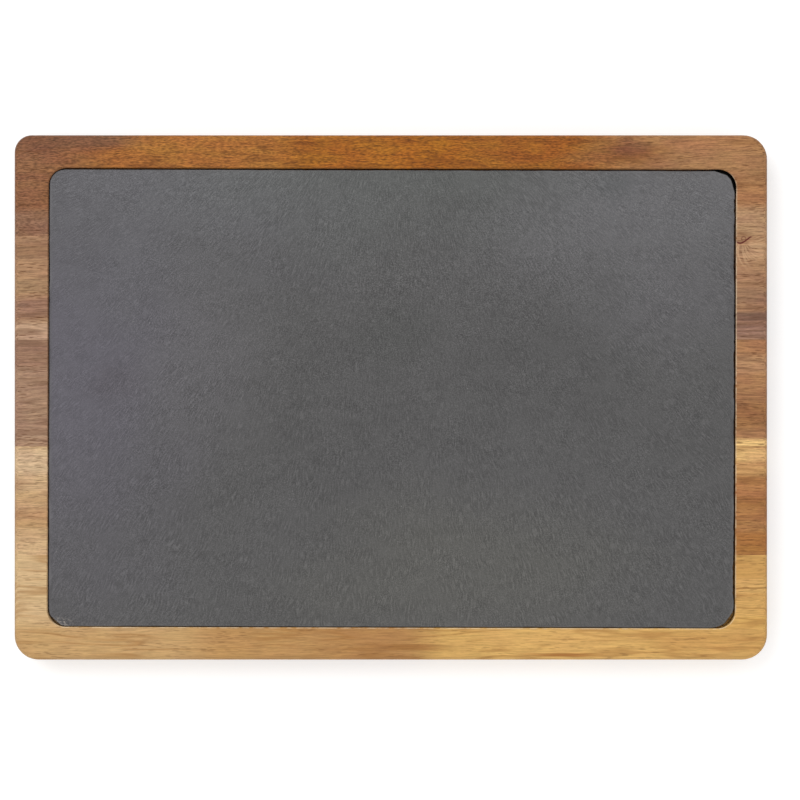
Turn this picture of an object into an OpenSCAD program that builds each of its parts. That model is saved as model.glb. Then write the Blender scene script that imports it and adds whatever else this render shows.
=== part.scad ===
// Slate serving board: a panel of riven slate that drops into a recess milled in a board of
// five edge-glued acacia staves. The board lies flat, left to right along X, with its back
// edge towards +Y. Z is zero at the underside of the feet.

/* [Slate panel] */
// Length of the slate, left to right
slate_w = 300; // [200:5:400]
// Depth of the slate, front to back
slate_d = 200; // [150:5:300]
// Thickness of the slate
slate_t = 5; // [3:0.5:8]
// Bevel dressed along the slate's upper edge
slate_bevel = 0.5; // [0.2:0.1:1.2]
// Extra rounding of the front left corner, over that of the back left one
front_left_extra_r = 1.2; // [0:0.1:4]
// Extra rounding of the front right corner, over that of the back left one
front_right_extra_r = 3.2; // [0:0.1:4]
// Depth that the front right corner is nipped to, from where its two edges would meet
nip_depth = 4.4; // [3:0.1:7]
// Distance from the slate's edges to the centre that the back right corner is trimmed round
trim_inset = 6.7; // [6:0.1:9]
// Distance from that centre to each trimmed flat
trim_r = 5.65; // [5:0.05:6]

/* [Recess] */
// Play between the slate and the recess wall at the left and right
play_x = 0.5; // [0.4:0.05:1.5]
// Play between the slate and the recess wall at the front and back
play_y = 0.45; // [0.4:0.05:1.5]
// How much of its play the slate has moved to the left, as a share
left_share = 0.15; // [0:0.05:0.3]
// How much of its play the slate has moved to the front, as a share
front_share = 0.35; // [0:0.05:0.4]
// Corner radius that the milling cutter leaves
recess_r = 7.8; // [5:0.1:10]
// Depth of the slate's face below the wood
slate_drop = 0.3; // [0:0.1:1.5]
// Broken edge round the mouth of the recess
arris = 0.4; // [0.2:0.1:1]

// How far the recess was milled off the middle of the board, to the right
recess_right = 0.45; // [0:0.05:1]
// How far the recess was milled off the middle of the board, to the front
recess_front = 0.35; // [0:0.05:1]
// Turn of the recess in the board, clockwise
recess_turn = 0.15; // [0:0.05:0.3]

/* [Wooden board] */
// Width of wood left and right of the recess, for a recess in the middle
rim_x = 14.5; // [12:0.25:40]
// Width of wood in front of and behind the recess, for a recess in the middle
rim_y = 14.55; // [12:0.05:40]
// Thickness of the board
board_t = 15; // [12:0.5:30]
// Radius of the back right corner
back_right_r = 10.5; // [5:0.25:14]
// Radius of the back left corner
back_left_r = 7.5; // [5:0.1:14]
// Radius of the front left corner
front_left_r = 10.5; // [5:0.25:14]
// Radius of the front right corner
front_right_r = 11; // [5:0.25:14]
// Rounding of the upper edge
top_round = 2.5; // [1:0.25:4]
// Rounding of the lower edge
base_round = 1.5; // [1:0.25:4]

/* [Feet] */
// Diameter of a foot where it is stuck to the wood
foot_d = 12; // [8:0.5:16]
// Height of a foot
foot_t = 3; // [2:0.25:6]
// How much narrower a foot is at the floor, each side
foot_taper = 0.8; // [0.2:0.1:1.5]
// Rounding of a foot's lower edge
foot_round = 0.6; // [0.2:0.1:1]
// Distance from the board's edges to the centre of a foot
foot_inset = 22; // [16:1:40]

/* [Hidden] */
$fn = 96;
quarter = 90;

// Staves from the back of the board to the front, with the share of its depth that each takes.
// The front stave has what the others leave.
STAVES = ["back_edge_stave", "back_inner_stave", "centre_stave", "front_inner_stave", "front_edge_stave"];
stave_width_shares = [0.193, 0.197, 0.203, 0.207];
stave_colours = [
    [0.61, 0.42, 0.26],
    [0.62, 0.48, 0.37],
    [0.62, 0.47, 0.35],
    [0.72, 0.55, 0.38],
    [0.78, 0.62, 0.42],
];

// Feet, with the way from the middle of the board to each
FEET = ["foot_back_left", "foot_back_right", "foot_front_left", "foot_front_right"];
foot_sides = [[-1, 1], [1, 1], [-1, -1], [1, -1]];

// How far a cut runs past the face that it starts from
overrun = 1;

// The recess takes its size from the slate and its play, and the board from the recess and its rims
slate_size = [slate_w, slate_d];
recess_size = slate_size + 2 * [play_x, play_y];
board_size = recess_size + 2 * [rim_x, rim_y];
recess_depth = slate_t + slate_drop;
slate_shift = [-left_share * play_x, -front_share * play_y];

// Heights over the floor
base_z = foot_t;
top_z = base_z + board_t;
recess_z = top_z - recess_depth;

// Corner radii, from the back right and round to the left
board_radii = [back_right_r, back_left_r, front_left_r, front_right_r];
recess_radii = [recess_r, recess_r, recess_r, recess_r];
slate_r = recess_r - play_x - play_y;
slate_radii = [slate_r, slate_r, slate_r + front_left_extra_r, slate_r + front_right_extra_r];

// The flats that the slate's right corners are nipped to by hand: the point that each is measured
// from, the direction that it faces and how far out it lies. Three round off the back corner, and
// one cuts the front corner.
trim_angles = [17, 42, 71];
nip_angle = -37;
flats = concat(
    [for (angle = trim_angles) [slate_size / 2 - [trim_inset, trim_inset], angle, trim_r]],
    [[[slate_size.x, -slate_size.y] / 2, nip_angle, -nip_depth]]
);

// Half the length and depth of a rectangle, as they lie once it is turned to its nth side
function turned_half(size, n) = (n % 2 == 0 ? size : [size.y, size.x]) / 2;

// The share of the board's depth that lies behind the nth stave
function depth_share_behind(n) = n == 0 ? 0 : depth_share_behind(n - 1) + stave_width_shares[n - 1];

// A rectangle with its own radius at each corner
module rounded_outline(size, radii) {
    difference() {
        square(size, center = true);
        for (n = [0 : len(radii) - 1])
            rotate([0, 0, quarter * n])
                translate(turned_half(size, n) - [radii[n], radii[n]])
                    difference() {
                        square(radii[n] + overrun);
                        circle(radii[n]);
                    }
    }
}

// Carries a profile round a rounded rectangle, in four straight runs and four quarter turns.
// The profile's x points out of the rectangle, and its y points up.
module carried_round(size, radii) {
    for (n = [0 : len(radii) - 1]) {
        half = turned_half(size, n);
        radius = radii[n];
        last_radius = radii[(n + len(radii) - 1) % len(radii)];
        rotate([0, 0, quarter * n]) {
            translate(half - [radius, radius])
                rotate_extrude(angle = quarter)
                    translate([radius, 0])
                        children();
            translate([half.x, half.y - radius, 0])
                rotate([quarter, 0, 0])
                    linear_extrude(height = 2 * half.y - radius - last_radius)
                        children();
        }
    }
}

// What a router bit with a quarter-round cutter takes off an outer edge
module round_waste(radius) {
    translate([-radius, -radius])
        difference() {
            square(radius + overrun);
            circle(radius);
        }
}

// What a bevel takes off an outer edge
module bevel_waste(width) {
    polygon([
        [-width - overrun, overrun],
        [overrun, -width - overrun],
        [overrun, overrun],
    ]);
}

// What a broken edge takes off the mouth of a pocket
module arris_waste(width) {
    polygon([
        [-overrun, -width - overrun],
        [width + overrun, overrun],
        [-overrun, overrun],
    ]);
}

// Places the recess, and what lies in it, where the board was milled
module at_recess() {
    translate([recess_right, -recess_front, 0])
        rotate([0, 0, -recess_turn])
            children();
}

// The glued-up board, rounded at its edges and milled for the slate
module milled_board() {
    difference() {
        translate([0, 0, base_z])
            linear_extrude(height = board_t)
                rounded_outline(board_size, board_radii);
        translate([0, 0, top_z])
            carried_round(board_size, board_radii)
                round_waste(top_round);
        translate([0, 0, base_z])
            mirror([0, 0, 1])
                carried_round(board_size, board_radii)
                    round_waste(base_round);
        at_recess() {
            translate([0, 0, recess_z])
                linear_extrude(height = recess_depth + overrun)
                    rounded_outline(recess_size, recess_radii);
            translate([0, 0, top_z])
                carried_round(recess_size, recess_radii)
                    arris_waste(arris);
        }
    }
}

// One stave: the strip of the board between two glue lines. The edge staves run out past the
// board's edge, so that they keep all of its outline.
module stave(n) {
    first = n == 0;
    last = n == len(STAVES) - 1;
    back_y = board_size.y * (1 / 2 - depth_share_behind(n)) + (first ? overrun : 0);
    front_y = last ? -board_size.y / 2 - overrun : board_size.y * (1 / 2 - depth_share_behind(n + 1));
    color(stave_colours[n])
        intersection() {
            milled_board();
            translate([-board_size.x / 2 - overrun, front_y, base_z - overrun])
                cube([board_size.x + 2 * overrun, back_y - front_y, board_t + 2 * overrun]);
        }
}

// Carries a profile along each flat. Each run is long enough to pass both of the edges that
// meet at the corner.
module carried_along_flats() {
    run = 4 * trim_inset;
    for (flat = flats)
        translate(flat[0])
            rotate([0, 0, flat[1]])
                translate([flat[2], run / 2, 0])
                    rotate([quarter, 0, 0])
                        linear_extrude(height = run)
                            children();
}

// The slate panel, which lies loose on the floor of the recess. Its corners are rounded by
// hand, and the right ones are nipped back in flats. A bevel follows the whole upper edge.
module slate_panel() {
    color([0.38, 0.38, 0.40])
        at_recess()
            translate([slate_shift.x, slate_shift.y, recess_z])
                difference() {
                    linear_extrude(height = slate_t)
                        rounded_outline(slate_size, slate_radii);
                    carried_along_flats()
                        translate([0, -overrun])
                            square([trim_inset, slate_t + 2 * overrun]);
                    translate([0, 0, slate_t]) {
                        carried_round(slate_size, slate_radii)
                            bevel_waste(slate_bevel);
                        carried_along_flats()
                            bevel_waste(slate_bevel);
                    }
                }
}

// One stuck-on rubber foot: tapered, with its lower edge rounded
module foot(n) {
    foot_place = board_size / 2 - [foot_inset, foot_inset];
    floor_r = foot_d / 2 - foot_taper;
    color([0.12, 0.12, 0.12])
        translate([foot_sides[n].x * foot_place.x, foot_sides[n].y * foot_place.y, 0])
            rotate_extrude()
                union() {
                    polygon([
                        [0, 0],
                        [floor_r - foot_round, 0],
                        [floor_r, foot_round],
                        [foot_d / 2, foot_t],
                        [0, foot_t],
                    ]);
                    intersection() {
                        translate([floor_r - foot_round, foot_round])
                            circle(foot_round);
                        square([floor_r, foot_round]);
                    }
                }
}

for (n = [0 : len(STAVES) - 1])
    stave(n);
slate_panel();
for (n = [0 : len(FEET) - 1])
    foot(n);
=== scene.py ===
import math

import bmesh
import bpy
from mathutils import Color, Matrix, Vector, noise


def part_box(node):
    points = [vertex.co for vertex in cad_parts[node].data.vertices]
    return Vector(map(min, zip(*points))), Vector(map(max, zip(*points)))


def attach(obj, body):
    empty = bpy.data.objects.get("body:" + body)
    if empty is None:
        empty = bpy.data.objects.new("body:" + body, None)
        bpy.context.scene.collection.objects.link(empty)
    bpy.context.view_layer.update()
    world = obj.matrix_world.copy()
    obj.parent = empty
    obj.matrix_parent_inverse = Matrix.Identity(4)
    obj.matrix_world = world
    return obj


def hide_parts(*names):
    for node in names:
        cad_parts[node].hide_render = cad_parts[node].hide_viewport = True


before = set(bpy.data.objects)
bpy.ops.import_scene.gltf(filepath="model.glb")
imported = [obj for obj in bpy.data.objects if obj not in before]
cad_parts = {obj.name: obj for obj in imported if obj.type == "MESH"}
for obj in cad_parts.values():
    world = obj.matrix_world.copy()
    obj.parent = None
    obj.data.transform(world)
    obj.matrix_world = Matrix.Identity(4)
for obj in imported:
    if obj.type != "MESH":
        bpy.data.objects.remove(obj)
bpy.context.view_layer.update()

# Acacia. The board is glued up edge to edge from five oiled staves, each sawn from another tree.
# Growth lines lie round the heart of that tree, so they run along the faces and show as arcs on
# the end grain. The vessels are long and thin, and a face cuts them open as short dashes.
MM = 0.001
VECTOR = "NodeSocketVector"
FLOAT = "NodeSocketFloat"


def tone(red, green, blue):
    """A colour as it looks, each channel from 0 to 255, made linear for a shader."""
    seen = Color((red / 255, green / 255, blue / 255))
    return (*seen.from_srgb_to_scene_linear(), 1)


def feed(tree, socket, value):
    """Links a socket to the output that it is given, or sets it to a plain value."""
    if isinstance(value, bpy.types.NodeSocket):
        tree.links.new(value, socket)
    else:
        socket.default_value = value


def add(tree, kind, inputs, output=0, **settings):
    """Adds a node with its settings and inputs, and gives one of its outputs."""
    node = tree.nodes.new(kind)
    for name, value in settings.items():
        setattr(node, name, value)
    for key, value in inputs.items():
        feed(tree, node.inputs[key], value)
    return node.outputs[output]


def number(tree, operation, *values):
    """The result of one sum on numbers."""
    return add(tree, "ShaderNodeMath", dict(enumerate(values)), operation=operation)


def vector(tree, operation, *values, output="Vector"):
    """The result of one sum on vectors."""
    return add(tree, "ShaderNodeVectorMath", dict(enumerate(values)), output, operation=operation)


def combine(tree, x, y, z):
    """A vector made of its x, y and z."""
    return add(tree, "ShaderNodeCombineXYZ", {"X": x, "Y": y, "Z": z})


def split(tree, value):
    """The x, y and z of a vector."""
    return [add(tree, "ShaderNodeSeparateXYZ", {"Vector": value}, axis) for axis in "XYZ"]


def clouds(tree, position, size, detail=2, roughness=0.5):
    """Soft noise whose clouds are about as large as size, in the units of the position."""
    scaled = vector(tree, "DIVIDE", position, size)
    settings = {"Vector": scaled, "Scale": 1, "Detail": detail, "Roughness": roughness}
    return add(tree, "ShaderNodeTexNoise", settings)


def rise(tree, value, start, end):
    """0 before start and 1 past end, with a smooth step between. It falls where end is lower."""
    settings = {"Value": value, "From Min": start, "From Max": end}
    return add(tree, "ShaderNodeMapRange", settings, interpolation_type="SMOOTHSTEP")


def patches(tree, position, size, thin, thick, **settings):
    """Clouds with clear edges: 0 where they are thinner than thin, and 1 past thick."""
    return rise(tree, clouds(tree, position, size, **settings), thin, thick)


def swing(tree, value, reach, middle=0):
    """Goes from reach below the middle to reach above it, as the value goes from 0 to 1."""
    return number(tree, "MULTIPLY_ADD", value, 2 * reach, middle - reach)


def blend(tree, share, first, second):
    """Two colours, mixed by the share that the second one takes."""
    return add(tree, "ShaderNodeMix", {0: share, 6: first, 7: second}, 2, data_type="RGBA")


def blotch(tree, position, middle, reach):
    """An oval patch on the face, 1 at its middle, whose soft edge wanders. It ignores height."""
    off = vector(tree, "SUBTRACT", position, (*middle, 0))
    off = vector(tree, "DIVIDE", vector(tree, "MULTIPLY", off, (1, 1, 0)), (*reach, 1))
    wander = clouds(tree, off, (0.9, 0.9, 0.9))
    off_share = number(tree, "ADD", vector(tree, "LENGTH", off, output="Value"), wander)
    return rise(tree, off_share, 1.7, 0.7)


def new_effect(name, inputs, outputs):
    """An empty node group with named sockets, and the sockets at its two ends."""
    effect = bpy.data.node_groups.new(name, "ShaderNodeTree")
    for socket, kind in inputs.items():
        effect.interface.new_socket(socket, in_out="INPUT", socket_type=kind)
    for socket, kind in outputs.items():
        effect.interface.new_socket(socket, in_out="OUTPUT", socket_type=kind)
    ends = effect.nodes.new("NodeGroupInput").outputs, effect.nodes.new("NodeGroupOutput").inputs
    return effect, *ends


def use_effect(tree, effect, values):
    """Places an effect in a material with its own values, and gives its outputs."""
    node = tree.nodes.new("ShaderNodeGroup")
    node.node_tree = effect
    for name, value in values.items():
        feed(tree, node.inputs[name], value)
    return node.outputs


def new_material(name):
    """A material with its shader, and where the surface lies in millimetres."""
    material = bpy.data.materials.new(name)
    material.use_nodes = True
    tree = material.node_tree
    metres = add(tree, "ShaderNodeTexCoord", {}, "Object")
    position = vector(tree, "DIVIDE", metres, (MM, MM, MM))
    return material, tree, tree.nodes["Principled BSDF"].inputs, position


def finish_node(name, material):
    """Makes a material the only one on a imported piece."""
    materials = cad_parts[name].data.materials
    materials.clear()
    materials.append(material)


# How large each part of the grain is in millimetres: along the stave, across it and through it
slow_sway_size = (120, 46, 46)
quick_sway_size = (26, 9, 9)
line_patch_size = (34, 8, 8)
pore_size = (6, 0.6, 0.6)
pore_patch_size = (24, 7, 7)
fibre_size = (12, 0.5, 0.5)
fleck_size = (1.7, 0.42, 0.42)
mottle_size = (15, 6, 6)
line_run = 46
band_run = 240
lines_in_a_band = 4
line_half_width = 0.075
pore_edge = (0.34, 0.2)
quick_sway_share = 0.28
seed_step = (311, 173, 89)
grain, given, gives = new_effect(
    "acacia grain",
    {"Position": VECTOR, "Heart": VECTOR, "Line Spacing": FLOAT, "Sway": FLOAT, "Seed": FLOAT},
    {
        "Flow": VECTOR, "Lines": FLOAT, "Bands": FLOAT, "Pores": FLOAT, "Fibres": FLOAT,
        "Flecks": FLOAT, "Mottle": FLOAT,
    },
)
seeds = combine(grain, given["Seed"], given["Seed"], given["Seed"])
own_place = vector(grain, "MULTIPLY_ADD", seeds, seed_step, given["Position"])
slow_sway = number(grain, "SUBTRACT", clouds(grain, own_place, slow_sway_size), 0.5)
quick_sway = number(grain, "SUBTRACT", clouds(grain, own_place, quick_sway_size), 0.5)
sway = number(grain, "MULTIPLY_ADD", quick_sway, quick_sway_share, slow_sway)
shift = number(grain, "MULTIPLY", sway, given["Sway"])
flow = vector(grain, "ADD", given["Position"], combine(grain, 0, shift, shift))
own_flow = vector(grain, "MULTIPLY_ADD", seeds, seed_step, flow)
from_heart = vector(grain, "MULTIPLY", vector(grain, "SUBTRACT", flow, given["Heart"]), (0, 1, 1))
radius = vector(grain, "LENGTH", from_heart, output="Value")
ring = number(grain, "DIVIDE", radius, given["Line Spacing"])
along = split(grain, own_flow)[0]
ring_place = combine(grain, number(grain, "DIVIDE", along, line_run), ring, given["Seed"])
band_ring = number(grain, "DIVIDE", ring, lines_in_a_band)
band_place = combine(grain, number(grain, "DIVIDE", along, band_run), band_ring, given["Seed"])
ring_clouds = clouds(grain, ring_place, (1, 1, 1), detail=1)
off_line = number(grain, "ABSOLUTE", number(grain, "SUBTRACT", ring_clouds, 0.5))
line_patches = patches(grain, own_flow, line_patch_size, 0.4, 0.6)
lines = number(grain, "MULTIPLY", rise(grain, off_line, line_half_width, 0), line_patches)
pore_cells = {"Vector": vector(grain, "DIVIDE", own_flow, pore_size), "Scale": 1}
to_pore = add(grain, "ShaderNodeTexVoronoi", pore_cells, "Distance")
pore_patches = patches(grain, own_flow, pore_patch_size, 0.38, 0.58)
pores = number(grain, "MULTIPLY", rise(grain, to_pore, *pore_edge), pore_patches)
feed(grain, gives["Flow"], flow)
feed(grain, gives["Lines"], lines)
feed(grain, gives["Bands"], patches(grain, band_place, (1, 1, 1), 0.35, 0.7, detail=1))
feed(grain, gives["Pores"], pores)
feed(grain, gives["Fibres"], patches(grain, own_flow, fibre_size, 0.28, 0.72, roughness=0.6))
feed(grain, gives["Flecks"], patches(grain, own_flow, fleck_size, 0.3, 0.7))
feed(grain, gives["Mottle"], patches(grain, own_flow, mottle_size, 0.3, 0.7))

# A streak keeps to the flow of the grain, with soft sides and soft ends
streak_edge_share = 0.45
streak, given, gives = new_effect(
    "acacia streak",
    {"Flow": VECTOR, "At": FLOAT, "Reach": FLOAT, "Start": FLOAT, "End": FLOAT, "Fade": FLOAT},
    {"Mask": FLOAT},
)
along, across = split(streak, given["Flow"])[:2]
off_line = number(streak, "ABSOLUTE", number(streak, "SUBTRACT", across, given["At"]))
off_share = number(streak, "DIVIDE", off_line, given["Reach"])
within = rise(streak, off_share, 1 + streak_edge_share, 1 - streak_edge_share)
before = number(streak, "SUBTRACT", given["Start"], given["Fade"])
after = number(streak, "ADD", given["End"], given["Fade"])
begun = rise(streak, along, before, given["Start"])
ended = rise(streak, along, after, given["End"])
lengthwise = number(streak, "MULTIPLY", begun, ended)
feed(streak, gives["Mask"], number(streak, "MULTIPLY", within, lengthwise))

# The recess was milled a little off the board's middle and a little askew. Round its back right
# corner the walls and floor are painted near black: painted shade for the deep gap there
recess_half = (150.5, 100.45)
recess_middle = (0.45, -0.35, 0)
recess_turn = math.radians(0.15)
face_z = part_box("centre_stave")[1].z / MM
floor_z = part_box("slate_panel")[0].z / MM
arris_width = 0.4
arris_facing_up = 0.7
wear_size = (3, 3, 3)
cutter_r = 7.8
shade_from_cutter = (4, 5.4)
shade_from_corner = (13, 9.5)
cut_edges, given, gives = new_effect(
    "cut edges",
    {"Position": VECTOR, "Facing": VECTOR},
    {"End Grain": FLOAT, "Arris": FLOAT, "Facing Light": FLOAT, "Painted Corner Shade": FLOAT},
)
facing_x, facing_y, facing_z = split(cut_edges, given["Facing"])
square_on = {"Vector": given["Position"], "Center": recess_middle, "Angle": recess_turn}
square_on = add(cut_edges, "ShaderNodeVectorRotate", square_on, rotation_type="Z_AXIS")
square_on = vector(cut_edges, "SUBTRACT", square_on, recess_middle)
x, y, z = split(cut_edges, square_on)
end_grain = rise(cut_edges, number(cut_edges, "ABSOLUTE", facing_x), 0.5, 1)
near_face = rise(cut_edges, z, face_z - arris_width - 0.1, face_z - arris_width)
leaning = number(cut_edges, "COMPARE", facing_z, arris_facing_up, 0.08)
worn = patches(cut_edges, given["Position"], wear_size, 0.3, 0.6)
arris = number(cut_edges, "MULTIPLY", number(cut_edges, "MULTIPLY", near_face, leaning), worn)
# Painted light on the arris: 1 where it faces the back left softbox, 0 where it faces away
arris_facing_light = rise(cut_edges, number(cut_edges, "SUBTRACT", facing_y, facing_x), -0.3, 0.5)
beside_x = number(cut_edges, "SUBTRACT", number(cut_edges, "ABSOLUTE", x), recess_half[0])
beside_y = number(cut_edges, "SUBTRACT", number(cut_edges, "ABSOLUTE", y), recess_half[1])
inside = number(cut_edges, "LESS_THAN", number(cut_edges, "MAXIMUM", beside_x, beside_y), 0.2)
below_face = number(cut_edges, "LESS_THAN", z, face_z - arris_width + 0.05)
above_floor = number(cut_edges, "GREATER_THAN", z, floor_z - 0.1)
milled = number(cut_edges, "MULTIPLY", inside, number(cut_edges, "MULTIPLY", below_face, above_floor))
at_corner = combine(cut_edges, recess_half[0], recess_half[1], z)
from_corner = vector(cut_edges, "DISTANCE", square_on, at_corner, output="Value")
at_cutter = combine(cut_edges, recess_half[0] - cutter_r, recess_half[1] - cutter_r, z)
from_cutter = vector(cut_edges, "DISTANCE", square_on, at_cutter, output="Value")
# Painted shade: the walls and floor within a few millimetres of the back right corner go dark
shaded_rim = number(cut_edges, "MULTIPLY", rise(cut_edges, from_cutter, *shade_from_cutter), milled)
painted_corner_shade = number(cut_edges, "MULTIPLY", rise(cut_edges, from_corner, *shade_from_corner), shaded_rim)
feed(cut_edges, gives["End Grain"], end_grain)
feed(cut_edges, gives["Arris"], arris)
feed(cut_edges, gives["Facing Light"], arris_facing_light)
feed(cut_edges, gives["Painted Corner Shade"], painted_corner_shade)

left_end = (-200, -125)
right_end = (125, 200)
sway_reach = 7
streak_fade = 25
quieting_run = 45
quiet_share = 0.4
pore_tone = tone(98, 58, 30)
end_grain_tone = tone(96, 64, 42)
end_grain_share = 0.3
# Painted shade for the arris where it faces away from the back left softbox
painted_arris_shade_tone = tone(114, 78, 50)
# Painted highlight for the arris where it faces the back left softbox
painted_arris_highlight_tone = tone(248, 226, 192)
arris_share = 0.45
# Near black painted shade for the back right corner of the recess
painted_corner_shade_tone = tone(8, 6, 5)
oiled_sheen = 0.16
oiled_roughness = 0.5
hollow_roughness = 0.12
hollow_depth = 0.06


def acacia(
    stave, left, middle, right, line, heart, seed, turns=(-110, -60, 60, 110), line_spacing=3.2,
    lines=0.5, bands=0.16, pores=0.75, fibres=0.24, flecks=0.1, mottle=0.05, streaks=(),
    stain=None, marks=None, quiet_from=200,
):
    """Gives a stave its own acacia: the tone of its left end, its middle and its right end, the
    tone of its lines, the heart of its tree as y and z, and how strong each part of its grain is.
    A streak is its y, half its width, the stretch that it keeps to and its tone. A stain lies under
    the grain and marks lie over it. The flecks grow faint past quiet_from."""
    material, tree, shader, position = new_material(stave + " acacia")
    grown = use_effect(tree, grain, {
        "Position": position, "Heart": (0, *heart), "Line Spacing": line_spacing,
        "Sway": sway_reach, "Seed": seed,
    })
    along = split(tree, grown["Flow"])[0]
    colour = blend(tree, rise(tree, along, turns[0], turns[1]), left, middle)
    colour = blend(tree, rise(tree, along, turns[2], turns[3]), colour, right)
    for at, reach, stretch, streak_tone in streaks:
        mask = use_effect(tree, streak, {
            "Flow": grown["Flow"], "At": at, "Reach": reach, "Start": stretch[0],
            "End": stretch[1], "Fade": streak_fade,
        })["Mask"]
        colour = blend(tree, mask, colour, streak_tone)
    if stain:
        colour = stain(tree, position, colour)
    hue = swing(tree, grown["Mottle"], 0.1 * mottle, 0.5)
    value = swing(tree, grown["Mottle"], mottle, 1)
    value = number(tree, "ADD", value, swing(tree, grown["Fibres"], fibres))
    lively = rise(tree, along, quiet_from + quieting_run, quiet_from)
    lively = number(tree, "MULTIPLY_ADD", lively, 1 - quiet_share, quiet_share)
    value = number(tree, "MULTIPLY_ADD", swing(tree, grown["Flecks"], flecks), lively, value)
    colour = add(tree, "ShaderNodeHueSaturation", {"Hue": hue, "Value": value, "Color": colour})
    colour = blend(tree, number(tree, "MULTIPLY", grown["Bands"], bands), colour, line)
    colour = blend(tree, number(tree, "MULTIPLY", grown["Lines"], lines), colour, line)
    colour = blend(tree, number(tree, "MULTIPLY", grown["Pores"], pores), colour, pore_tone)
    if marks:
        colour = marks(tree, position, colour)
    facing = add(tree, "ShaderNodeTexCoord", {}, "Normal")
    cut = use_effect(tree, cut_edges, {"Position": position, "Facing": facing})
    end_share = number(tree, "MULTIPLY", cut["End Grain"], end_grain_share)
    colour = blend(tree, end_share, colour, end_grain_tone)
    # The worn arris takes painted highlight where it faces the back left and painted shade elsewhere
    painted_arris_light_tone = blend(tree, cut["Facing Light"], painted_arris_shade_tone, painted_arris_highlight_tone)
    colour = blend(tree, number(tree, "MULTIPLY", cut["Arris"], arris_share), colour, painted_arris_light_tone)
    # The back right corner of the recess takes the painted shade tone
    feed(tree, shader["Base Color"], blend(tree, cut["Painted Corner Shade"], colour, painted_corner_shade_tone))
    shader["Specular IOR Level"].default_value = oiled_sheen
    hollow = number(tree, "MULTIPLY_ADD", grown["Lines"], 0.4, grown["Pores"])
    roughness = number(tree, "MULTIPLY_ADD", hollow, hollow_roughness, oiled_roughness)
    feed(tree, shader["Roughness"], roughness)
    sunk = number(tree, "MULTIPLY", hollow, -1)
    settings = {"Strength": 1, "Distance": hollow_depth * MM, "Height": sunk}
    feed(tree, shader["Normal"], add(tree, "ShaderNodeBump", settings))
    finish_node(stave, material)


# Back edge stave. It is orange-brown heartwood with an interlocked grain that shows as short
# dark flecks. It turns greyer to the left and paler to the right, past one purplish patch.
def purplish_patch(tree, position, colour):
    """A dull purplish patch where the grain turns round a hidden branch, and browner wood round it."""
    browner = blotch(tree, position, (98, 106), (26, 9))
    purplish = number(tree, "MULTIPLY", blotch(tree, position, (106, 109), (11, 5)), 0.55)
    colour = blend(tree, browner, colour, tone(146, 96, 52))
    return blend(tree, purplish, colour, tone(118, 72, 58))


acacia(
    "back_edge_stave",
    left=tone(138, 94, 65), middle=tone(162, 98, 30), right=tone(170, 121, 80),
    line=tone(104, 56, 22), heart=(60, -40), seed=1, turns=(-165, -90, 68, 108),
    lines=0.38, bands=0.2, pores=0.66, fibres=0.25, flecks=0.38, mottle=0.05,
    streaks=[
        (108, 20, (-112, -58), tone(168, 108, 48)),
        (108, 16, (18, 34), tone(161, 97, 27)),
        (108, 16, (44, 78), tone(152, 91, 32)),
        (113, 5, left_end, tone(122, 81, 56)),
        (75.5, 5.5, left_end, tone(145, 108, 84)),
        (101, 7, right_end, tone(162, 117, 79)),
        (76, 7, right_end, tone(181, 142, 107)),
    ],
    stain=purplish_patch, quiet_from=75,
)

# Back inner stave. Tan acacia with brown streaks, sawn beside a small knot: a curl of ingrown
# bark lies at its right end, against the glue line, with figured wood round it.
bark_low = (152.8, 67.5)
bark_curve = 0.25
bark_flattening = -0.0267
bark_middle = 154.3
bark_reach = 4
bark_half_width = (0.6, 0.2)
bark_ring = (154.4, 69.4)
bark_ring_r = 0.95
bark_ring_half_width = (0.4, 0.1)
bark_tone = tone(96, 40, 32)
figure_turns = 8
figure_bend = -0.06
figure_spacing = 9
figure_share = 0.45
figure_tone = tone(216, 176, 136)


def ingrown_bark(tree, position, colour):
    """A curl of bark in the wood, with a small ring inside it and rays of figured wood outside."""
    x, y, z = split(tree, position)
    across = number(tree, "SUBTRACT", x, bark_low[0])
    bend = number(tree, "MULTIPLY_ADD", across, bark_flattening, bark_curve)
    climb = number(tree, "MULTIPLY", number(tree, "MULTIPLY", across, across), bend)
    over_curl = number(tree, "SUBTRACT", y, number(tree, "ADD", climb, bark_low[1]))
    off_curl = number(tree, "ABSOLUTE", over_curl)
    from_middle = number(tree, "ABSOLUTE", number(tree, "SUBTRACT", x, bark_middle))
    along_curl = rise(tree, from_middle, bark_reach + 0.5, bark_reach - 1.5)
    curl = number(tree, "MULTIPLY", rise(tree, off_curl, *bark_half_width), along_curl)
    out = vector(tree, "SUBTRACT", combine(tree, x, y, 0), (*bark_ring, 0))
    to_ring = vector(tree, "LENGTH", out, output="Value")
    off_ring = number(tree, "ABSOLUTE", number(tree, "SUBTRACT", to_ring, bark_ring_r))
    ring = number(tree, "MULTIPLY", rise(tree, off_ring, *bark_ring_half_width), 0.5)
    out_x, out_y = split(tree, out)[:2]
    turn = number(tree, "ARCTAN2", out_y, out_x)
    bent_turn = number(tree, "MULTIPLY_ADD", to_ring, figure_bend, turn)
    ray = number(tree, "MULTIPLY", bent_turn, figure_turns)
    figure_place = combine(tree, ray, number(tree, "DIVIDE", to_ring, figure_spacing), z)
    figure = patches(tree, figure_place, (1, 1, 8), 0.48, 0.6)
    around = number(tree, "MULTIPLY", rise(tree, to_ring, 16, 7), rise(tree, to_ring, 2, 4))
    below = rise(tree, number(tree, "MULTIPLY_ADD", out_x, -0.5, out_y), 2, -2)
    share = number(tree, "MULTIPLY", number(tree, "MULTIPLY", around, below), figure_share)
    colour = blend(tree, number(tree, "MULTIPLY", figure, share), colour, figure_tone)
    return blend(tree, number(tree, "MAXIMUM", curl, ring), colour, bark_tone)


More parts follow.
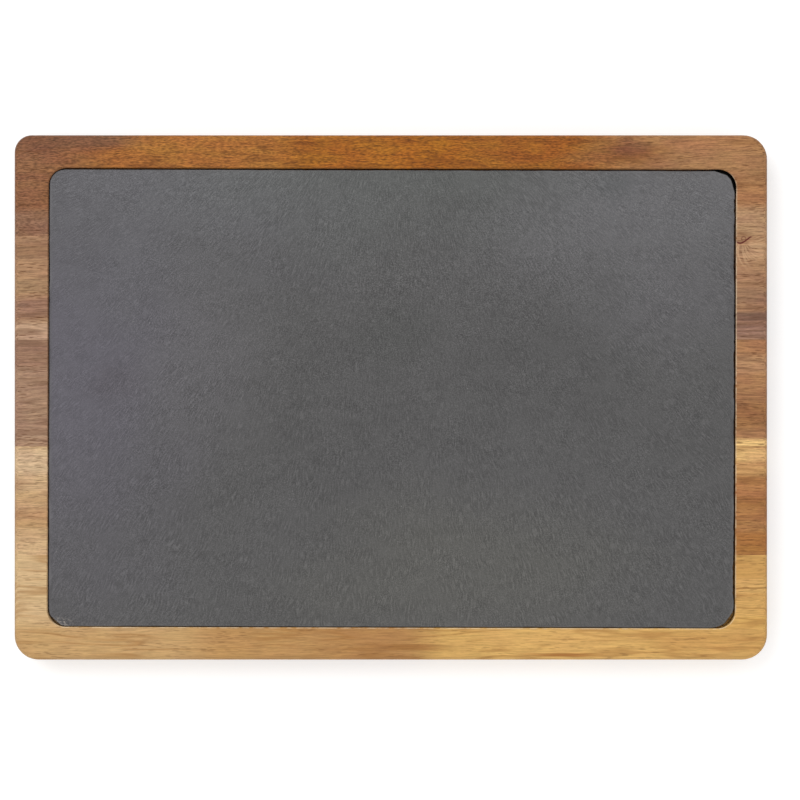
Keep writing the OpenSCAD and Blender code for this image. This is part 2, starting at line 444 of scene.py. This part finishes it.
acacia(
    "back_inner_stave",
    left=tone(172, 132, 99), middle=tone(168, 126, 92), right=tone(169, 127, 94),
    line=tone(104, 70, 46), heart=(110, -50), seed=2, line_spacing=2.4, lines=0.5,
    fibres=0.29,
    streaks=[
        (63.6, 3.3, left_end, tone(147, 109, 81)),
        (48.5, 3, left_end, tone(163, 127, 95)),
        (39.5, 4, left_end, tone(158, 120, 96)),
        (29, 4.6, left_end, tone(190, 154, 126)),
        (65, 3.2, right_end, tone(184, 144, 108)),
        (45.4, 3.4, right_end, tone(149, 111, 85)),
        (35.8, 2.5, right_end, tone(131, 99, 82)),
        (29, 4, right_end, tone(153, 116, 97)),
    ],
    marks=ingrown_bark,
)

# Centre stave. Mid-brown acacia with a fine, even grain. At its right end it runs out into pale
# sapwood along the front.
acacia(
    "centre_stave",
    left=tone(166, 131, 106), middle=tone(168, 127, 96), right=tone(170, 122, 83),
    line=tone(104, 70, 48), heart=(70, -60), seed=3, pores=0.66, fibres=0.28,
    streaks=[
        (19.4, 5.8, left_end, tone(148, 112, 90)),
        (3.6, 2, left_end, tone(161, 127, 103)),
        (-16.2, 1.8, left_end, tone(172, 138, 113)),
        (15.5, 4, right_end, tone(186, 141, 101)),
        (1, 4, right_end, tone(165, 118, 80)),
        (-7.5, 6, right_end, tone(155, 107, 68)),
        (-21.4, 3.1, right_end, tone(230, 186, 124)),
    ],
)

# Front inner stave. Pale at its left end, and at its right end a strip of sapwood beside the
# glue line turns quickly to orange-brown heartwood.
acacia(
    "front_inner_stave",
    left=tone(200, 165, 126), middle=tone(190, 146, 98), right=tone(166, 113, 69),
    line=tone(124, 80, 44), heart=(20, -70), seed=4, lines=0.35, bands=0.08, pores=0.44,
    fibres=0.23,
    streaks=[
        (-28, 5, left_end, tone(208, 176, 140)),
        (-44, 3.5, left_end, tone(193, 156, 115)),
        (-53, 5, left_end, tone(188, 148, 106)),
        (-59.5, 2.5, left_end, tone(196, 160, 119)),
        (-65, 3.5, left_end, tone(208, 173, 130)),
        (-30.5, 3, right_end, tone(203, 154, 101)),
        (-24, 3.6, right_end, tone(221, 177, 117)),
        (-40.5, 3, right_end, tone(177, 122, 77)),
        (-46, 2.5, right_end, tone(158, 106, 62)),
        (-57, 3, right_end, tone(175, 125, 77)),
        (-64, 5, right_end, tone(168, 113, 60)),
    ],
)

# Front edge stave. Smooth golden acacia with quiet lines, and a browner stretch left of the
# middle.
acacia(
    "front_edge_stave",
    left=tone(209, 177, 132), middle=tone(212, 168, 99), right=tone(208, 161, 95),
    line=tone(158, 108, 56), heart=(-30, -60), seed=5, lines=0.5, bands=0.05, pores=0.34,
    fibres=0.17, flecks=0.04, mottle=0.02,
    streaks=[
        (-111, 12, (-200, -60), tone(197, 158, 107)),
        (-108, 16, (-72, -6), tone(186, 142, 89)),
        (-108, 16, (-16, 2), tone(178, 131, 80)),
        (-108, 16, (60, 140), tone(218, 173, 103)),
        (-76, 4, right_end, tone(201, 153, 88)),
        (-83.5, 3, right_end, tone(214, 168, 102)),
        (-98.5, 2.5, right_end, tone(218, 172, 98)),
        (-106, 4, right_end, tone(207, 159, 92)),
        (-110, 1.5, (6, 8), tone(160, 112, 62)),
        (-112.3, 0.8, (74, 78), tone(172, 118, 62)),
        (-84.2, 0.35, right_end, tone(172, 128, 74)),
    ],
)

# Rubber feet. Four moulded anti-slip feet are stuck under the corners. The rubber is matt and
# near black, with a fine moulded texture.
mould_grain_size = (0.5, 0.5, 0.5)
dust_size = (4, 4, 4)
clean_rubber_tone = tone(26, 26, 27)
dusty_rubber_tone = tone(48, 47, 46)
rubber, tree, shader, position = new_material("foot rubber")
dust = clouds(tree, position, dust_size, detail=3)
feed(tree, shader["Base Color"], blend(tree, dust, clean_rubber_tone, dusty_rubber_tone))
shader["Roughness"].default_value = 0.7
mould_grain = clouds(tree, position, mould_grain_size, detail=3)
settings = {"Strength": 0.4, "Distance": 0.05 * MM, "Height": mould_grain}
feed(tree, shader["Normal"], add(tree, "ShaderNodeBump", settings))
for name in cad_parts:
    if name.startswith("foot_"):
        finish_node(name, rubber)

# Slate panel. A riven plate of grey slate that lies loose in the recess. It is split along its
# cleavage, so its face is gently uneven, with fine hackles that fan out from where it was struck.
# Its corners are nipped by hand in short flats, and its dressed edges show the layers.
slate_half = Vector((150, 100, 2.5))
slate_centre = sum(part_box("slate_panel"), Vector()) / 2 / MM
slate_columns = 260
slate_rows = 236
row_crowding = 0.75
swell_size = (70, 55)
swell_height = 0.06
ledge_size = (26, 34)
ledge_height = 0.02
ledge_count = 3
hackle_area = (30, 24)
hackle_height = 0.035
hackle_run = 26
hackles_in_a_radian = 62
dressed_bevel = 0.35
bevel_step_share = 0.55
rough_bite = 0.7
rough_strip = 5
rough_from_corner = 12
smooth_bite = 0.13
bite_reach = 4
slow_bite_size = (14, 14)
quick_bite_size = (2.2, 2.2)
layer_depths = (0.1, 0.35, 0.9, 1.3, 1.8, 2.3, 2.8, 3.4, 3.9, 4.5, 5)
layer_size = (5, 5)
layer_unevenness = 0.1
back_left_corner_r = 6.85
front_left_corner_r = 8.05
front_right_corner_r = 10.05
nips_in_a_corner = 9
trim_inset = 6.7
trim_r = 5.65
trim_angles = (17, 42, 71)
nip_depth = 4.4
nip_angle = -37
small_nip_depth = 3.9
small_nip_angle = 228
strike = Vector((1.5, 157))


def flat_from(point, angle, reach):
    """The flat that faces at an angle and lies a reach from a point: the way it faces, how far out."""
    way = Vector((math.cos(math.radians(angle)), math.sin(math.radians(angle))))
    return way, point.dot(way) + reach


flats = [flat_from(Vector((0, 0)), 90 * side, slate_half[side % 2]) for side in range(4)]
trim_centre = slate_half.xy - Vector((trim_inset, trim_inset))
flats += [flat_from(trim_centre, angle, trim_r) for angle in trim_angles]
flats.append(flat_from(Vector((slate_half.x, -slate_half.y)), nip_angle, -nip_depth))
flats.append(flat_from(-slate_half.xy, small_nip_angle, -small_nip_depth))
rounded_corners = [
    (1, -1, 1, back_left_corner_r),
    (2, -1, -1, front_left_corner_r),
    (3, 1, -1, front_right_corner_r),
]
for quarter, side_x, side_y, corner_r in rounded_corners:
    centre = Vector((side_x * (slate_half.x - corner_r), side_y * (slate_half.y - corner_r)))
    for n in range(nips_in_a_corner):
        flats.append(flat_from(centre, 90 * (quarter + (n + 0.5) / nips_in_a_corner), corner_r))


def reach_at(y, side):
    """How far the slate's face reaches to one side at y."""
    facing = [(way, out - dressed_bevel) for way, out in flats if way.x * side > 0.001]
    return side * min((out - way.y * y) / (way.x * side) for way, out in facing)


def nearest_flat(place):
    """The way that the nearest flat faces, and how far inside it a place lies."""
    way, out = min(flats, key=lambda flat: flat[1] - flat[0].dot(place))
    return way, out - way.dot(place)


def place_in_noise(place, size, layer):
    """Where a place on the face lies in a layer of noise, whose clouds are as large as size."""
    return Vector((place[0] / size[0], place[1] / size[1], layer))


def riven(x, y):
    """Height of the split face over its mean, in millimetres."""
    swell = noise.fractal(place_in_noise((x, y), swell_size, 3), 0.7, 2, 3)
    climb = noise.fractal(place_in_noise((x, y), ledge_size, 11), 0.6, 2, 4) * ledge_count
    ledge = math.floor(climb) + min(1, 5 * (climb % 1))
    from_strike = Vector((x, y)) - strike
    angle = math.atan2(from_strike.x, -from_strike.y)
    along_fan = (angle * hackles_in_a_radian, from_strike.length)
    hackle = noise.noise(place_in_noise(along_fan, (1, hackle_run), 5))
    hackled = max(0, noise.noise(place_in_noise((x, y), hackle_area, 8)) + 0.15)
    return swell_height * swell + ledge_height * ledge + hackle_height * hackle * hackled


def bite(place):
    """How far the edge is bitten in by dressing, in millimetres. The right edge is the roughest."""
    at_right = place.x > slate_half.x - rough_strip
    between_corners = abs(place.y) < slate_half.y - rough_from_corner
    deepest = rough_bite if at_right and between_corners else smooth_bite
    slow = max(0, noise.noise(place_in_noise(place, slow_bite_size, 2)) + 0.15)
    quick = abs(noise.noise(place_in_noise(place, quick_bite_size, 7)))
    return deepest * 0.9 * (slow + quick)


def make_object(name, shape):
    """Makes an object in the scene from a finished bmesh."""
    mesh = bpy.data.meshes.new(name)
    shape.to_mesh(mesh)
    shape.free()
    made = bpy.data.objects.new(name, mesh)
    bpy.context.scene.collection.objects.link(made)
    return made


# The face is a grid, laid out from the left edge to the right one. Its rows crowd towards the
# front and the back, where the corners turn.
slate_mesh = bmesh.new()
dressed = slate_mesh.verts.layers.float.new("dressed")
bmesh.ops.create_grid(slate_mesh, x_segments=slate_columns, y_segments=slate_rows, size=0.5)
for vert in slate_mesh.verts:
    row = 2 * vert.co.y
    crowded = (1 - row_crowding) * row + row_crowding * math.sin(row * math.pi / 2)
    y = crowded * (slate_half.y - dressed_bevel)
    left = reach_at(y, -1)
    right = reach_at(y, 1)
    place = Vector((left + (vert.co.x + 0.5) * (right - left), y))
    way, room = nearest_flat(place)
    place -= way * bite(place) * max(0, 1 - room / bite_reach)
    vert.co = (*place, slate_half.z + riven(*place))

# The edges go down from the face's rim, layer by layer, first out over the bevel and then upright
rim = [edge for edge in slate_mesh.edges if edge.is_boundary]
for vert in {vert for edge in rim for vert in edge.verts}:
    vert[dressed] = 1
for depth in layer_depths:
    made = bmesh.ops.extrude_edge_only(slate_mesh, edges=rim)["geom"]
    rim = [item for item in made if isinstance(item, bmesh.types.BMEdge)]
    for vert in (item for item in made if isinstance(item, bmesh.types.BMVert)):
        way, room = nearest_flat(vert.co.xy)
        ragged = noise.noise(place_in_noise(vert.co, layer_size, 3 * depth))
        bevel_step = dressed_bevel * bevel_step_share if depth <= dressed_bevel else 0
        vert.co.xy += way * min(bevel_step + layer_unevenness * ragged, room)
        vert.co.z = slate_half.z - depth
        vert[dressed] = 1
bmesh.ops.holes_fill(slate_mesh, edges=rim)
bmesh.ops.recalc_face_normals(slate_mesh, faces=slate_mesh.faces)
for face in slate_mesh.faces:
    face.smooth = True
slate_turn = Matrix.Rotation(-recess_turn, 3, "Z")
for vert in slate_mesh.verts:
    vert.co = (slate_turn @ vert.co + slate_centre) * MM
slate = make_object("riven_slate", slate_mesh)
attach(slate, "slate")
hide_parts("slate_panel")

# The fan of hackles: it wanders a little, and its strokes are finer far from the strike
wander_size = (14, 14, 14)
wander = 0.022
hackle_length = 4.2
near_fineness = 190
far_fineness = 400
near_to_far = (90, 170)
hackle_patch_size = (10, 8, 8)
least_hackles = 0.25
hackle_shading_share = 0.46
stone, tree, shader, position = new_material("slate")
across, up, depth = split(tree, position)
from_strike_x = number(tree, "SUBTRACT", across, strike.x)
from_strike_y = number(tree, "SUBTRACT", strike.y, up)
fan_angle = number(tree, "ARCTAN2", from_strike_x, from_strike_y)
fan_angle = number(tree, "MULTIPLY_ADD", clouds(tree, position, wander_size), wander, fan_angle)
fan_reach = vector(tree, "LENGTH", combine(tree, from_strike_x, from_strike_y, 0), output="Value")


def hackle_strokes(fineness):
    """Strokes that point to where the slate was struck, with so many to a radian."""
    place = combine(tree, number(tree, "MULTIPLY", fan_angle, fineness), fan_reach, depth)
    return patches(tree, place, (1, hackle_length, 6), 0.39, 0.71, detail=1)


far_out = rise(tree, fan_reach, *near_to_far)
near_strokes = hackle_strokes(near_fineness)
hackles = number(tree, "MULTIPLY", near_strokes, number(tree, "SUBTRACT", 1, far_out))
hackles = number(tree, "MULTIPLY_ADD", hackle_strokes(far_fineness), far_out, hackles)
hackle_patches = patches(tree, position, hackle_patch_size, 0.3, 0.65)
hackle_patches = number(tree, "MULTIPLY_ADD", hackle_patches, 1 - least_hackles, least_hackles)
hackles = number(tree, "MULTIPLY", number(tree, "SUBTRACT", hackles, 0.4), hackle_patches)

# The stone's own tone, with wide blooms over it: the middle, reach, tone and share of each.
# The wide pale blooms at the back and sides are painted sheen from the softboxes, and the small
# ones are the stone's own patches
shade_size = (70, 55, 30)
dark_slate_tone = tone(84, 83, 83)
pale_slate_tone = tone(88, 87, 87)
shades = patches(tree, position, shade_size, 0.3, 0.7, detail=3)
colour = blend(tree, shades, dark_slate_tone, pale_slate_tone)
sheen_and_tone_blooms = [
    ((-160, 0), (90, 110), tone(98, 95, 103), 0.9),
    ((-100, 100), (110, 65), tone(102, 101, 105), 0.8),
    ((120, 85), (90, 60), tone(106, 105, 107), 0.85),
    ((0, 105), (110, 45), tone(97, 99, 97), 0.7),
    ((30, -80), (95, 45), tone(94, 93, 89), 0.7),
    ((-121, 6), (15, 13), tone(88, 84, 90), 0.6),
    ((1.5, 28), (24, 18), tone(80, 80, 79), 0.6),
    ((98, 93), (10, 9), tone(88, 89, 90), 0.5),
    ((-80, 15), (38, 50), tone(104, 102, 104), 0.4),
    ((128, 40), (32, 28), tone(103, 101, 104), 0.35),
]
# Painted sheen and the stone's own patches, laid over its tone
for middle, reach, sheen_and_patch_tone, share in sheen_and_tone_blooms:
    mask = number(tree, "MULTIPLY", blotch(tree, position, middle, reach), share)
    colour = blend(tree, mask, colour, sheen_and_patch_tone)

# Grit makes the tone uneven, and the hackles' light and dark strokes in it are painted shading of
# their relief. Small specks and the chipped front left corner are paler, and so are the dressed edges
grit_size = (0.47, 0.47, 0.47)
least_grit = 0.41
coarse_patch_size = (16, 13, 13)
speck_spacing = (2.4, 2.4, 2.4)
speck_tone = tone(150, 150, 148)
cleavage_size = (18, 18, 0.3)
dark_layer_tone = tone(84, 83, 85)
pale_layer_tone = tone(114, 113, 115)
chip_size = (1.1, 1.1, 1.1)
chip_tone = tone(165, 158, 150)
matt_roughness = 0.62
matt_sheen = 0.3
relief_depth = 0.14
grit = patches(tree, position, grit_size, 0.36, 0.74, roughness=0.7)
coarser = patches(tree, position, coarse_patch_size, 0.3, 0.7)
grit_share = number(tree, "MULTIPLY_ADD", coarser, 0.36, least_grit)
rougher = blotch(tree, position, (10, 30), (90, 65))
grit_share = number(tree, "MULTIPLY_ADD", rougher, 0.26, grit_share)
unevenness = number(tree, "MULTIPLY", number(tree, "SUBTRACT", grit, 0.35), grit_share)
# Painted shading: the hackles' relief shows as light and dark strokes in the tone
unevenness = number(tree, "MULTIPLY_ADD", hackles, hackle_shading_share, unevenness)
smoother = blotch(tree, position, (-145, 10), (45, 110))
unevenness_share = number(tree, "MULTIPLY_ADD", smoother, -0.35, 1)
value = number(tree, "MULTIPLY_ADD", unevenness, unevenness_share, 1)
colour = add(tree, "ShaderNodeHueSaturation", {"Value": value, "Color": colour})
speck_cells = {"Vector": vector(tree, "DIVIDE", position, speck_spacing), "Scale": 1}
specks = add(tree, "ShaderNodeTexVoronoi", speck_cells).node.outputs
speck_size = number(tree, "MULTIPLY_ADD", split(tree, specks["Color"])[0], 0.3, -0.2)
specks = rise(tree, number(tree, "SUBTRACT", speck_size, specks["Distance"]), -0.01, 0.05)
colour = blend(tree, number(tree, "MULTIPLY", specks, 0.7), colour, speck_tone)
# The dressed edges are paler: partly the stone's own edge, partly a painted highlight where the edge
# catches the light
edge_mask = add(tree, "ShaderNodeAttribute", {}, "Fac", attribute_name="dressed")
layers = patches(tree, position, cleavage_size, 0.35, 0.65, detail=3)
edge_tone_and_highlight = blend(tree, layers, dark_layer_tone, pale_layer_tone)
colour = blend(tree, number(tree, "MULTIPLY", edge_mask, 0.6), colour, edge_tone_and_highlight)
chipped = patches(tree, position, chip_size, 0.5, 0.62)
chipped = number(tree, "MULTIPLY", blotch(tree, position, (-145, -98.6), (6.5, 2.6)), chipped)
colour = blend(tree, number(tree, "MULTIPLY", chipped, 0.7), colour, chip_tone)
feed(tree, shader["Base Color"], colour)
shader["Roughness"].default_value = matt_roughness
shader["Specular IOR Level"].default_value = matt_sheen
relief = number(tree, "MULTIPLY_ADD", grit, 0.4, hackles)
settings = {"Strength": 1, "Distance": relief_depth * MM, "Height": relief}
feed(tree, shader["Normal"], add(tree, "ShaderNodeBump", settings))
slate.data.materials.append(stone)

# Table, light and camera. The board lies on a white table in soft studio light, with the
# strongest softbox at the back left. The camera looks straight down.
table_size = 6
table_glow = 0.4
room_light = 0.75


def shows_in_picture(tree):
    """1 for the rays that a picture shows: straight ones, and those off gloss and through glass."""
    rays = tree.nodes.new("ShaderNodeLightPath").outputs
    seen = number(tree, "MAXIMUM", rays["Is Camera Ray"], rays["Is Glossy Ray"])
    return number(tree, "MAXIMUM", seen, rays["Is Transmission Ray"])


table_mesh = bmesh.new()
bmesh.ops.create_grid(table_mesh, x_segments=1, y_segments=1, size=table_size / 2)
table = make_object("table", table_mesh)
white, tree, shader, position = new_material("white table")
shader["Base Color"].default_value = (0.8, 0.8, 0.8, 1)
shader["Roughness"].default_value = 0.9
shader["Specular IOR Level"].default_value = 0
shader["Emission Color"].default_value = (1, 1, 1, 1)
glow = number(tree, "MULTIPLY", shows_in_picture(tree), table_glow)
feed(tree, shader["Emission Strength"], glow)
table.data.materials.append(white)

studio = bpy.data.worlds.new("studio")
bpy.context.scene.world = studio
studio.use_nodes = True
tree = studio.node_tree
backdrop = tree.nodes["Background"].inputs
backdrop["Color"].default_value = (1, 1, 1, 1)
shown_light = number(tree, "MULTIPLY_ADD", shows_in_picture(tree), 1 - room_light, room_light)
feed(tree, backdrop["Strength"], shown_light)


def softbox(name, place, size, power):
    """A square softbox that faces the middle of the board."""
    lamp = bpy.data.lights.new(name, "AREA")
    lamp.shape = "SQUARE"
    lamp.size = size
    lamp.energy = power
    stand = bpy.data.objects.new(name, lamp)
    stand.location = place
    stand.rotation_euler = Vector(place).to_track_quat("Z", "Y").to_euler()
    stand.visible_camera = False
    bpy.context.scene.collection.objects.link(stand)


softbox("back left softbox", (-0.75, 0.8, 1.5), 1.1, 10)
softbox("front right softbox", (1.1, -1.0, 1.2), 1.2, 2)

# The picture is view_width wide at the height of picture_plane_z
picture_plane_z = 15.5 * MM
view_width = 351 * MM
camera_height = 0.95
camera_off_x = 4 * MM
camera_off_y = -1.13 * MM
camera = bpy.data.cameras.new("camera")
camera.sensor_width = 36
camera.lens = camera.sensor_width * camera_height / view_width
stand = bpy.data.objects.new("camera", camera)
stand.location = (camera_off_x, camera_off_y, picture_plane_z + camera_height)
bpy.context.scene.collection.objects.link(stand)
bpy.context.scene.camera = stand
bpy.context.scene.view_settings.view_transform = "Standard"
